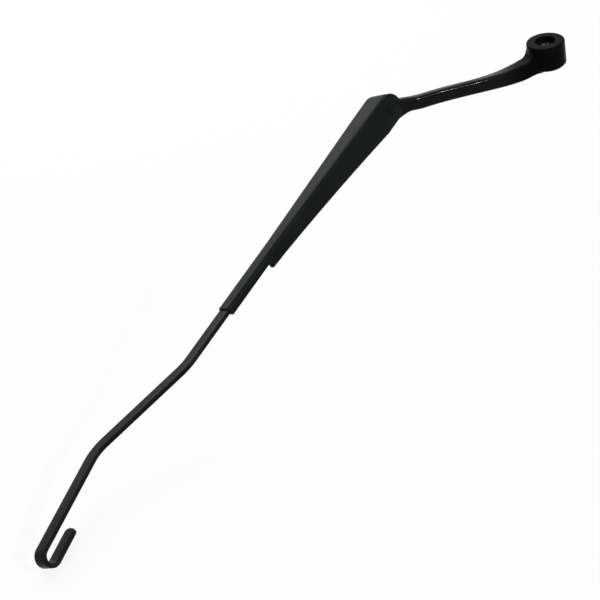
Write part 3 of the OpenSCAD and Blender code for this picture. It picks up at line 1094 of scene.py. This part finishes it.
@dataclass
class FoldedRetainer:
    """The folded sheet channel with its rolled end and its crimp on the rod; lengths in millimetres.

    Attributes:
        half: Half of the width at the hinge.
        set_back: How far the rear end's far corner is set back.
        bulge: How far the rear end's middle is bulged.
        end_from: Place along the arm behind which the rear end is shaped.
        end_ramp: Length over which that begins.
        rim_from: Height above the hinge from which it is shaped.
        rim_ramp: Height over which that begins.
        soft_bend: Softness of the bends beside the hinge.
        sharp_bend: Softness of the bends at the crimp.
        crimp_at: Place along the arm from which the bends are sharp.
        crimp_half: Half of the width at the crimp.
        taper_len: Length over which the web narrows.
        crown_band: Width of the band beside each ridge that falls away.
        crown_radius: Radius of that fall.
        paint: Finish of the sheet.
    """

    half: float = 9.4
    set_back: float = 2.8
    bulge: float = 1.9
    end_from: float = 6.0
    end_ramp: float = 8.0
    rim_from: float = 2.5
    rim_ramp: float = 3.0
    soft_bend: float = 5.0
    sharp_bend: float = 0.7
    crimp_at: float = 150.0
    crimp_half: float = 5.8
    taper_len: float = 130.0
    crown_band: float = 6.5
    crown_radius: float = 40.0
    paint: Paint = Paint(
        "retainer_satin",
        tone=(0.0042, 0.0064, 0.0054),
        pale=(0.0078, 0.0108, 0.0096),
        roughness=0.42,
        specular=0.07,
        peel_size=1.2 * MM,
        peel_depth=0.012 * MM,
        wear=0.2,
    )

    def sheet(self) -> bpy.types.Object:
        """Copies the folded sheet, shapes its rear end and shades its bends as smooth ones.

        Returns:
            The piece.
        """
        piece = copy_of("retainer", "folded_sheet")
        place = PLACE.arm()
        back = place.inverted()
        for vertex in piece.data.vertices:
            x, y, z = back @ vertex.co / MM
            reach = clamp((self.end_from - x) / self.end_ramp) * clamp((z - self.rim_from) / self.rim_ramp)
            far = max(0.0, -y / self.half) ** 2
            shift = self.set_back * far - self.bulge * max(0.0, 1 - (y / self.half) ** 2)
            vertex.co = place @ (Vector((x + shift * reach, y, z)) * MM)
        shade_bends(piece)
        return piece

    def _rounding(self, g: Graph) -> Wire:
        """Gives the softness of the bends, which are wide beside the hinge and sharp at the crimp.

        Args:
            g: The material's graph.

        Returns:
            The radius in metres.
        """
        x, _, _ = g.split(g.in_frame(PLACE.arm()))
        wide = g.over(x, (self.crimp_at, 0.0))
        return wide * ((self.soft_bend - self.sharp_bend) * MM) + self.sharp_bend * MM

    def _crown(self, g: Graph) -> Wire:
        """Gives the height of the web, which falls away softly towards its two ridges.

        Args:
            g: The material's graph.

        Returns:
            The height in metres, 0 or less.
        """
        x, y, _ = g.split(g.in_frame(PLACE.arm()))
        narrowing = g.over(x, (0.0, self.taper_len)) * ((self.half - self.crimp_half) * MM)
        inside = (self.half - self.crown_band) * MM - narrowing
        past = ((y * y) ** 0.5 - inside).at_least(0.0)
        return past * past * (-1 / (2 * self.crown_radius * MM))

    def build(self) -> None:
        """Builds and dresses the retainer."""
        finish = self.paint.material(rounding=self._rounding, crown=self._crown)
        dress(self.sheet(), finish, "arm", "retainer")


@dataclass
class FlatRod:
    """The flat rod with its two bends and the hook; lengths in millimetres, angles in degrees.

    Attributes:
        width: Width of the strip.
        thick: Thickness of the strip.
        edge: Rounding of its corners.
        start: Place along the arm of its inner end.
        height: Height of its middle above the hinge.
        corner1: Place along the arm of the first bend's corner.
        turn1: Angle of the first bend.
        radius1: Radius of the first bend.
        crank: Length between the two corners.
        turn2: Angle of the second bend.
        radius2: Radius of the second bend.
        tail: Length from the second corner to the hook.
        hook_gap: Gap inside the hook.
        leg: Length of the hook's leg.
        leg_stops: Places along the leg at which it has a stop.
        tip: Rounding of the leg's tip.
        tip_steps: Number of steps of that rounding.
        hole_inset: Distance of the spring's hole from the inner end.
        hole_r: Radius of that hole.
        rub_size: Size of the rubbed places inside the hook.
        rub_edge: Distances from the hook's axis between which the rubbing ends.
        rub_from: Places ahead of that axis between which it begins.
        paint: Finish of the rod.
    """

    width: float = 9.0
    thick: float = 3.0
    edge: float = 0.9
    start: float = 132.0
    height: float = 7.05
    corner1: float = 230.5
    turn1: float = 22.5
    radius1: float = 27.0
    crank: float = 75.6
    turn2: float = 37.2
    radius2: float = 22.0
    tail: float = 71.6
    hook_gap: float = 8.6
    leg: float = 22.5
    leg_stops: tuple[float, ...] = (4.0, 8.0, 12.0, 16.0)
    tip: float = 2.8
    tip_steps: int = 12
    hole_inset: float = 4.5
    hole_r: float = 1.2
    rub_size: float = 1.8
    rub_edge: Span = (4.9, 4.4)
    rub_from: Span = (-2.0, 1.0)
    paint: Paint = Paint(
        "rod_black",
        tone=(0.0102, 0.0106, 0.0128),
        pale=(0.0172, 0.0178, 0.0205),
        roughness=0.26,
        specular=0.06,
        peel_size=1.4 * MM,
        peel_depth=0.012 * MM,
        edge_radius=0.3 * MM,
        wear=0.45,
    )

    def __post_init__(self) -> None:
        """Starts the path at the inner end of the rod."""
        self.place = Vector((self.start, 0.0, self.height))
        self.heading = 0.0
        self.hook_r = (self.hook_gap + self.thick) / 2
        self.stations: list[Station] = []
        self.widths: list[float] = []

    def _side(self) -> Vector:
        """Gives the direction to the left of the path."""
        a = math.radians(self.heading)
        return Vector((-math.sin(a), math.cos(a), 0.0))

    def _ahead(self) -> Vector:
        """Gives the direction of the path."""
        a = math.radians(self.heading)
        return Vector((math.cos(a), math.sin(a), 0.0))

    def _mark(self, place: Vector, side: Vector, up: Vector, width: float) -> None:
        """Adds a stop of the sweep.

        Args:
            place: Middle of the strip.
            side: Direction of its width.
            up: Direction of its thickness.
            width: Its width there.
        """
        self.stations.append(Station(place, side, up))
        self.widths.append(width)

    def _straight(self, length: float, steps: int) -> None:
        """Goes straight on.

        Args:
            length: Length of the stretch.
            steps: Number of its steps.
        """
        for i in range(1, steps + 1):
            self._mark(self.place + self._ahead() * length * i / steps, self._side(), UP, self.width)
        self.place = self.place + self._ahead() * length

    def _bend(self, radius: float, turn: float, steps: int) -> None:
        """Turns in the plane of the rod.

        Args:
            radius: Radius of the bend's middle line.
            turn: Its angle, negative to the right.
            steps: Number of its steps.
        """
        hand = 1 if turn > 0 else -1
        centre = self.place + self._side() * radius * hand
        begin = self.heading
        for i in range(1, steps + 1):
            self.heading = begin + turn * i / steps
            self._mark(centre - self._side() * radius * hand, self._side(), UP, self.width)
        self.place = centre - self._side() * radius * hand

    def _hook(self, steps: int) -> None:
        """Turns under the rod and comes back as a leg with a rounded tip.

        Args:
            steps: Number of steps of the half turn.
        """
        ahead, side = self._ahead(), self._side()
        centre = self.place - UP * self.hook_r
        for i in range(1, steps + 1):
            a = math.pi * i / steps
            out = UP * math.cos(a) + ahead * math.sin(a)
            self._mark(centre + out * self.hook_r, side, out, self.width)
        low = centre - UP * self.hook_r
        for length in self.leg_stops:
            self._mark(low - ahead * length, side, -UP, self.width)
        for i in range(self.tip_steps + 1):
            left = self.tip * (1 - math.sin(math.pi / 2 * i / self.tip_steps))
            narrow = self.tip - math.sqrt(max(0.0, self.tip**2 - (self.tip - left) ** 2))
            self._mark(low - ahead * (self.leg - left), side, -UP, self.width - 2 * narrow)

    def hook_frame(self) -> Matrix:
        """Gives the frame of the hook's axis, once the path is made."""
        centre = Matrix.Translation((self.place - UP * self.hook_r) * MM)
        return PLACE.arm() @ centre @ Matrix.Rotation(math.radians(self.heading), 4, "Z")

    def _drill(self) -> bpy.types.Object:
        """Makes the drill of the spring's hole.

        Returns:
            The drill, in its place.
        """
        place = Matrix.Translation(Vector((self.start + self.hole_inset, 0, self.height)) * MM)
        upright = Matrix.Rotation(math.radians(90), 4, "Y")
        deep = self.thick
        profile = [(-deep, 0), (-deep, self.hole_r), (deep, self.hole_r), (deep, 0)]
        return lathe("rod_drill", PLACE.arm() @ place @ upright, profile, 32)

    def strip(self) -> bpy.types.Object:
        """Sweeps the rounded strip along the whole path and drills the hole of the spring.

        Returns:
            The piece.
        """
        cut1 = self.radius1 * math.tan(math.radians(self.turn1 / 2))
        cut2 = self.radius2 * math.tan(math.radians(self.turn2 / 2))
        self._mark(self.place.copy(), self._side(), UP, self.width)
        self._straight(self.corner1 - cut1 - self.start, steps=12)
        self._bend(self.radius1, -self.turn1, steps=20)
        self._straight(self.crank - cut1 - cut2, steps=8)
        self._bend(self.radius2, self.turn2, steps=30)
        self._straight(self.tail - cut2, steps=8)
        self._hook(steps=40)
        outlines = [rounded_box(w, self.thick, min(self.edge, 0.49 * w)) for w in self.widths]
        piece = sweep("rod_strip", PLACE.arm(), self.stations, outlines)
        drill = self._drill()
        cut = piece.modifiers.new("hole", "BOOLEAN")
        cut.operation = "DIFFERENCE"
        cut.solver = "EXACT"
        cut.object = drill
        apply_modifiers(piece)
        bpy.data.objects.remove(drill)
        smooth(piece.data, STRIP_ANGLE)
        return piece

    def _bare(self, g: Graph) -> Wire:
        """Finds the rubbed inside of the hook.

        Args:
            g: The material's graph.

        Returns:
            The mask, from 0 to 1.
        """
        x, _, z = g.split(g.in_frame(self.hook_frame()))
        radius = (x * x + z * z) ** 0.5
        patch = g.step(g.noise(g.here(), self.rub_size * MM, 4.0, 0.7), 0.6, 0.72)
        return g.over(radius, self.rub_edge) * g.over(x, self.rub_from) * patch

    def build(self) -> None:
        """Builds and dresses the rod."""
        dress(self.strip(), self.paint.material(self._bare), "arm", "wiper_rod")


@dataclass
class SprungHinge:
    """The hinge pin with its bushes, and the link and spring that pull the arm down; in millimetres.

    Attributes:
        pin_r: Radius of the pin.
        pin_half: Half of its length between the heads.
        head_r: Radius of a rivet head.
        dome: Shape of a head, as height and change of radius.
        dimple: Height and radius of the flat spot in the head's middle.
        bush_in: Inner radius of a bush.
        bush_out: Outer radius of a bush.
        bush_len: Length of a bush inside the knuckle.
        flange_r: Radius of its flange.
        flange_t: Thickness of its flange.
        bush_chamfer: Chamfer of its edges.
        knuckle_half: Half of the knuckle's width.
        anchor_r: Radius of the anchor pin.
        anchor_chamfer: Chamfer of its ends.
        anchor_place: Its middle in the arm's frame.
        wire_r: Radius of the spring's wire.
        coil_r: Radius of the coil's middle line.
        coil_start: Place along the spring at which the coil begins.
        turns: Number of turns.
        turn_steps: Number of steps of a turn.
        spiral: Turns over which the coil closes in on its axis at each end.
        lead: Length of each of those ends.
        link_hole: Place of the hole in the link.
        rod_hole: Place of the hole in the rod.
        bend_r: Radius of the hooks' bends.
        bend_steps: Number of steps of such a bend.
        leg: Length of a hook's leg.
    """

    pin_r: float = 2.5
    pin_half: float = 9.4
    head_r: float = 4.0
    dome: tuple[Span, ...] = (
        (0.0, 0.0),
        (0.18, -0.04),
        (0.42, -0.3),
        (0.6, -0.9),
        (0.68, -1.8),
        (0.7, -2.6),
    )
    dimple: Span = (0.62, 1.1)
    bush_in: float = 2.53
    bush_out: float = 3.13
    bush_len: float = 3.9
    flange_r: float = 5.2
    flange_t: float = 0.9
    bush_chamfer: float = 0.15
    knuckle_half: float = 7.05
    anchor_r: float = 1.5
    anchor_chamfer: float = 0.3
    anchor_place: tuple[float, float, float] = (3.3723, 0.0, -4.9626)
    wire_r: float = 0.8
    coil_r: float = 3.2
    coil_start: float = 28.0
    turns: int = 52
    turn_steps: int = 28
    spiral: float = 0.75
    lead: float = 2.4
    link_hole: float = 18.0
    rod_hole: float = 133.86
    bend_r: float = 1.6
    bend_steps: int = 8
    leg: float = 3.52

    def pin(self) -> bpy.types.Object:
        """Turns the pin with its two domed rivet heads.

        Returns:
            The piece.
        """
        deep, dimple_r = self.pin_half + self.dimple[0], self.dimple[1]
        right = [(self.pin_half + h, self.head_r + d) for h, d in self.dome]
        profile = [(-x, r) for x, r in reversed(right)]
        profile += [(-self.pin_half, self.pin_r), (self.pin_half, self.pin_r)] + right
        profile += [(deep, dimple_r), (deep, 0.0), (-deep, 0.0), (-deep, dimple_r)]
        return lathe("rivet_pin", PLACE.across(), profile)

    def bush(self, name: str, side: int) -> bpy.types.Object:
        """Turns one flanged bush.

        Args:
            name: Name of the piece.
            side: 1 for the side towards +Y of the arm, -1 for the other.

        Returns:
            The piece.
        """
        c = self.bush_chamfer
        inner, outer = self.knuckle_half - self.bush_len, self.knuckle_half + self.flange_t
        profile = [
            (inner, self.bush_in + c),
            (inner, self.bush_out - c),
            (inner + c, self.bush_out),
            (self.knuckle_half, self.bush_out),
            (self.knuckle_half, self.flange_r - c),
            (self.knuckle_half + c, self.flange_r),
            (outer - c, self.flange_r),
            (outer, self.flange_r - c),
            (outer, self.bush_in + c),
            (outer - c, self.bush_in),
            (inner + c, self.bush_in),
        ]
        return lathe(name, PLACE.across(), [(side * x, r) for x, r in profile])

    def anchor(self) -> bpy.types.Object:
        """Turns the chamfered dowel that anchors the link.

        Returns:
            The piece.
        """
        c, half, radius = self.anchor_chamfer, self.knuckle_half, self.anchor_r
        profile = [(-half, 0), (-half, radius - c), (c - half, radius)]
        profile += [(half - c, radius), (half, radius - c), (half, 0)]
        middle = Matrix.Translation(Vector(self.anchor_place) * MM)
        crosswise = Matrix.Rotation(math.radians(90), 4, "Z")
        return lathe("anchor_dowel", PLACE.arm() @ middle @ crosswise, profile, 40)

    def _coil(self, first: float, last: float) -> list[Vector]:
        """Gives the middle line of the coil with its two closing ends.

        Args:
            first: Place along the spring of the first full turn.
            last: Place of the last one.

        Returns:
            The points.
        """
        whole = self.spiral * 2 + self.turns - 1
        points = []
        for i in range(int(whole * self.turn_steps) + 1):
            t = i / self.turn_steps
            grow = min(1.0, t / self.spiral, (whole - t) / self.spiral)
            radius = self.coil_r * math.sin(math.pi / 2 * max(0.0, grow)) ** 1.5
            if t < self.spiral:
                x = first - self.lead * (1 - t / self.spiral) ** 1.5
            elif t > whole - self.spiral:
                x = last + self.lead * (1 - (whole - t) / self.spiral) ** 1.5
            else:
                x = first + (t - self.spiral) / (self.turns - 1) * (last - first)
            a = 2 * math.pi * t
            points.append(Vector((x, radius * math.sin(a), radius * math.cos(a))))
        return points

    def _spring_path(self) -> list[Vector]:
        """Gives the middle line of the spring wire.

        Returns:
            The points from the link to the rod.
        """
        middle = self.leg / 2 + self.bend_r / 2
        turns = [math.radians(90 * i / self.bend_steps) for i in range(self.bend_steps + 1)]
        first = self.coil_start + self.wire_r
        last = self.coil_start + 2 * self.wire_r * self.turns - self.wire_r
        path = [Vector((self.link_hole, 0, -self.leg)), Vector((self.link_hole, 0, -middle))]
        for a in turns:
            x = self.link_hole + self.bend_r * (1 - math.cos(a))
            path.append(Vector((x, 0, self.bend_r * (math.sin(a) - 1))))
        path.append(Vector(((self.link_hole + self.bend_r + first - self.lead) / 2, 0, 0)))
        path += self._coil(first, last)
        path.append(Vector(((last + self.lead + self.rod_hole - self.bend_r) / 2, 0, 0)))
        for a in turns:
            x = self.rod_hole - self.bend_r * (1 - math.sin(a))
            path.append(Vector((x, 0, self.bend_r * (1 - math.cos(a)))))
        path += [Vector((self.rod_hole, 0, middle)), Vector((self.rod_hole, 0, self.leg))]
        return path

    def spring(self) -> bpy.types.Object:
        """Sweeps the wire of the spring along its coil and hooks.

        Returns:
            The piece.
        """
        path = self._spring_path()
        stations = []
        side = SIDE
        for i, place in enumerate(path):
            ahead = (path[min(i + 1, len(path) - 1)] - path[max(i - 1, 0)]).normalized()
            side = (side - ahead * side.dot(ahead)).normalized()
            stations.append(Station(place, side, ahead.cross(side)))
        ring = [circle(self.wire_r, 2 * math.pi * k / 10) for k in range(10)]
        return sweep("coil_spring", PLACE.pull(), stations, [ring] * len(stations), WIRE_ANGLE)

    def link(self) -> bpy.types.Object:
        """Copies the bent link plate and rounds its shading.

        Returns:
            The piece.
        """
        piece = copy_of("spring_link", "link_plate")
        shade_bends(piece)
        return piece

    def build(self) -> None:
        """Builds and dresses the pieces of the hinge."""
        across, pull = PLACE.across(), PLACE.pull()
        black = Paint("pin_black", (0.0042, 0.0064, 0.0054), (0.0078, 0.0108, 0.0096), 0.42, 0.06, wear=0.1)
        bronze = BareMetal("bush_bronze", (0.62, 0.42, 0.2), (0.3, 0.2, 0.1), 0.34, Grain.TURNED, across)
        zinc = BareMetal("link_zinc", (0.62, 0.63, 0.64), (0.42, 0.42, 0.41), 0.3, Grain.PLATED, pull)
        wire = BareMetal("spring_wire", (0.4, 0.4, 0.41), (0.22, 0.22, 0.22), 0.36, Grain.DRAWN, pull)
        dress(self.pin(), black.material(), "arm", "hinge_pin")
        dress(self.bush("bush_near_turned", -1), bronze.material(), "head", "hinge_bush_near")
        dress(self.bush("bush_far_turned", 1), bronze.material(), "head", "hinge_bush_far")
        dress(self.anchor(), zinc.material(), "head", "anchor_pin")
        dress(self.link(), zinc.material(), "link", "spring_link")
        spring = self.spring()
        spring.data.materials.append(wire.material())
        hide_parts("tension_spring")
        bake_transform(spring)
        log.info("coil_spring: %d faces, from arm to link", len(spring.data.polygons))


@dataclass(frozen=True)
class Lamp:
    """A square soft lamp.

    Attributes:
        name: Name of the lamp.
        place: Its place in metres.
        size: Its side in metres.
        watts: Its power.
    """

    name: str
    place: tuple[float, float, float]
    size: float
    watts: float


@dataclass
class Studio:
    """Floor, lamps, world and camera; lengths in metres, angles in degrees.

    Attributes:
        azimuth: Angle of the camera round the object, from +X.
        elevation: Angle of the camera above the object.
        roll: Turn of the camera about its line of sight.
        distance: Distance of the camera from what it looks at.
        target: The point that camera and lamps look at.
        lens: Focal length in millimetres.
        sensor: Width of the sensor in millimetres.
        near_clip: Distance from which the camera sees.
        ambient: Strength of the even light on the object.
        shadow_share: Share of the floor that takes the object's shadow.
        paper_seen: Lightness of the floor where it is seen.
        paper: Lightness of the floor as it lights the object.
        paper_glow: Strength of the floor's white.
        floor_size: Side of the floor.
        floor_steps: Number of steps along that side.
        floor_gap: Gap between the object and the floor.
        lamps: The lamps.
    """

    azimuth: float = 78.492
    elevation: float = 34.304
    roll: float = -12.592
    distance: float = 0.919707
    target: tuple[float, float, float] = (0.225573, 0.090, -0.070488)
    lens: float = 86.32
    sensor: float = 36.0
    near_clip: float = 0.01
    ambient: float = 0.05
    shadow_share: float = 0.14
    paper_seen: float = 0.9
    paper: float = 0.35
    paper_glow: float = 1.04
    floor_size: float = 8.0
    floor_steps: int = 8
    floor_gap: float = 0.3 * MM
    lamps: tuple[Lamp, ...] = (
        Lamp("overhead", (0.25, -0.75, 0.95), 1.5, 16.0),
        Lamp("flash", (-0.386, 1.038, 0.62), 0.06, 6.5),
    )

    def _seen(self, g: Graph) -> Wire:
        """Finds the rays of the camera, of gloss and of glass."""
        path = g.add("ShaderNodeLightPath", output="Is Camera Ray")
        return (path + path.out("Is Glossy Ray") + path.out("Is Transmission Ray")).at_most(1.0)

    def floor(self, low: float) -> None:
        """Lays the pale floor.

        Args:
            low: Height of the floor.
        """
        steps = self.floor_steps
        ticks = [self.floor_size * (i / steps - 0.5) for i in range(steps + 1)]
        points = [Vector((x, y, low)) for y in ticks for x in ticks]
        faces = net_faces(len(ticks), len(ticks), around=False, along=False)
        floor = mesh_from("floor", points, faces, TURNED_ANGLE)
        paper = bpy.data.materials.new("white_paper")
        g = Graph(paper)
        tone = g.mix(self._seen(g), (self.paper,) * 3, (self.paper_seen,) * 3)
        lit = g.add("ShaderNodeBsdfDiffuse", None, {"Color": tone})
        white = g.add("ShaderNodeEmission", None, {"Color": WHITE, "Strength": self.paper_glow})
        share = self._seen(g) * (1.0 - self.shadow_share)
        both = g.add("ShaderNodeMixShader", None, {0: share, 1: lit, 2: white})
        g.add("ShaderNodeOutputMaterial", None, {"Surface": both})
        floor.data.materials.append(paper)
        floor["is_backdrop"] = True

    def world(self) -> None:
        """Fills the surroundings with even light, and with white where they are seen."""
        made = bpy.data.worlds.new("surroundings")
        bpy.context.scene.world = made
        g = Graph(made)
        even = g.add("ShaderNodeBackground", None, {"Color": WHITE, "Strength": self.ambient})
        white = g.add("ShaderNodeBackground", None, {"Color": WHITE, "Strength": 1.0})
        both = g.add("ShaderNodeMixShader", None, {0: self._seen(g), 1: even, 2: white})
        g.add("ShaderNodeOutputWorld", None, {"Surface": both})

    def hang(self, lamp: Lamp) -> None:
        """Hangs a lamp so that it faces the object.

        Args:
            lamp: The lamp.
        """
        data = bpy.data.lights.new(lamp.name, "AREA")
        data.shape = "SQUARE"
        data.size = lamp.size
        data.energy = lamp.watts
        light = bpy.data.objects.new(lamp.name, data)
        bpy.context.scene.collection.objects.link(light)
        light.location = lamp.place
        facing = (Vector(self.target) - Vector(lamp.place)).to_track_quat("-Z", "Y")
        light.rotation_euler = facing.to_euler()

    def camera(self) -> None:
        """Sets up the camera at the photograph's angle."""
        az, el, roll = (math.radians(a) for a in (self.azimuth, self.elevation, self.roll))
        back = Vector((math.cos(az) * math.cos(el), math.sin(az) * math.cos(el), math.sin(el)))
        level = UP.cross(back).normalized()
        upright = back.cross(level)
        right = level * math.cos(roll) + upright * math.sin(roll)
        up = upright * math.cos(roll) - level * math.sin(roll)
        data = bpy.data.cameras.new("photo_camera")
        data.lens = self.lens
        data.sensor_width = self.sensor
        data.sensor_fit = "HORIZONTAL"
        data.clip_start = self.near_clip
        camera = bpy.data.objects.new("photo_camera", data)
        bpy.context.scene.collection.objects.link(camera)
        turn = Matrix((right, up, back)).transposed().to_4x4()
        camera.matrix_world = Matrix.Translation(Vector(self.target) + back * self.distance) @ turn
        bpy.context.scene.camera = camera

    def build(self, low: float) -> None:
        """Builds the studio.

        Args:
            low: Height of the object's lowest point.
        """
        self.floor(low - self.floor_gap)
        self.world()
        for lamp in self.lamps:
            self.hang(lamp)
        self.camera()
        bpy.context.scene.view_settings.view_transform = "Standard"


def plain(box: Sequence[Sequence[float]]) -> list[list[float]]:
    """Turns a box into plain lists of numbers."""
    return [[float(v) for v in corner] for corner in box]


def main() -> None:
    """Builds the pieces in order."""
    logging.basicConfig(level=logging.INFO, format="%(message)s")
    cad_box = plain(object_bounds())
    CastHead().build()
    FoldedRetainer().build()
    FlatRod().build()
    SprungHinge().build()
    Studio().build(cad_box[0][2])
    log.info("done")


if __name__ == "__main__":
    main()
